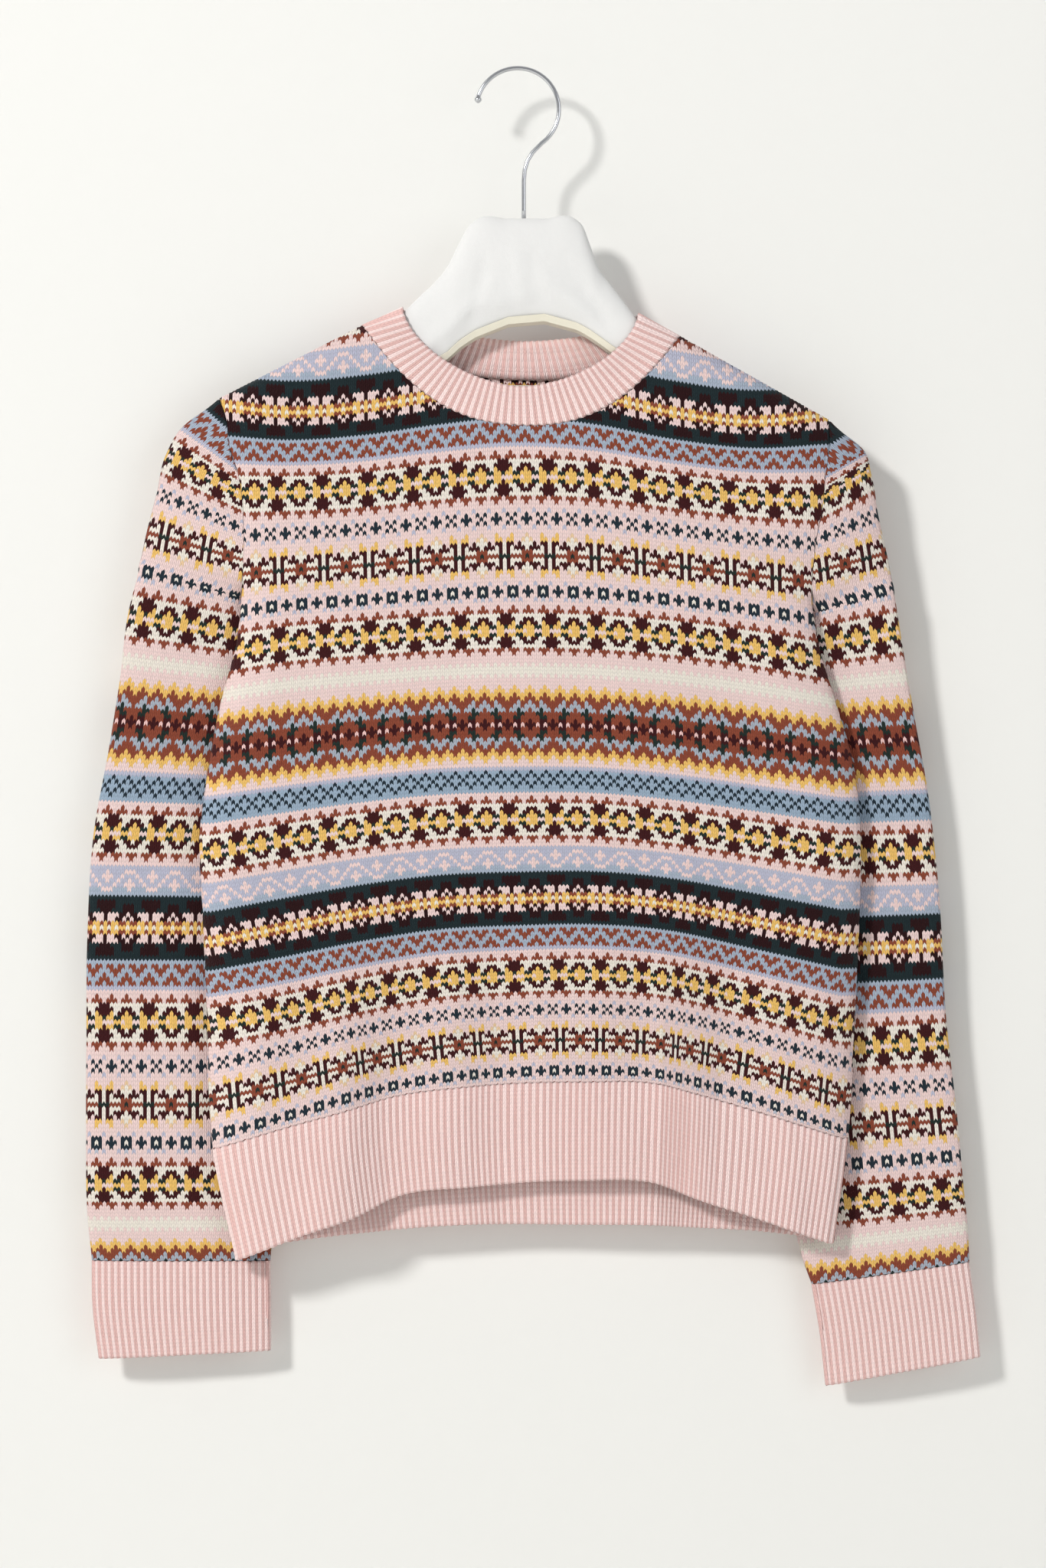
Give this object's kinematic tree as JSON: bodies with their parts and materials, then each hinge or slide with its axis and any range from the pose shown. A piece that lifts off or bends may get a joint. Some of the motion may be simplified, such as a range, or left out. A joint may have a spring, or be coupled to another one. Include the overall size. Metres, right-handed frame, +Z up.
{
  "type": "fair isle jumper on a covered clothes hanger",
  "caption": "Long-sleeved round-neck jumper in banded stranded knitting with pink ribbed neck, cuffs and hem, hanging on a white covered hanger with a steel hook.",
  "frame": {"origin": "inside of the crest of the hanger's hook, where a rail or line carries it", "axes": "+Z up, +X to the viewer's right when facing the jumper's front, the front faces -Y"},
  "size_m": [0.5863, 0.0425, 0.863],
  "materials": {
    "patterned_knit": "stranded wool stockinette, banded pattern on pale pink, soft haze",
    "pink_rib": "one by one rib in pale pink wool",
    "cream_tape": "matt cream woven tape",
    "white_cover": "white cotton jersey cover",
    "polished_steel": "polished steel wire"
  },
  "bodies": {
    "root": {"front_panel": "patterned_knit", "back_panel": "patterned_knit", "sleeve_left": "patterned_knit", "sleeve_right": "patterned_knit", "neckband": "pink_rib", "hem_rib_front": "pink_rib", "hem_rib_back": "pink_rib", "cuff_left": "pink_rib", "cuff_right": "pink_rib", "neck_label": "cream_tape", "hanger_body": "white_cover", "hanger_binding": "cream_tape", "hanger_hook": "polished_steel"}
  },
  "joints": []
}
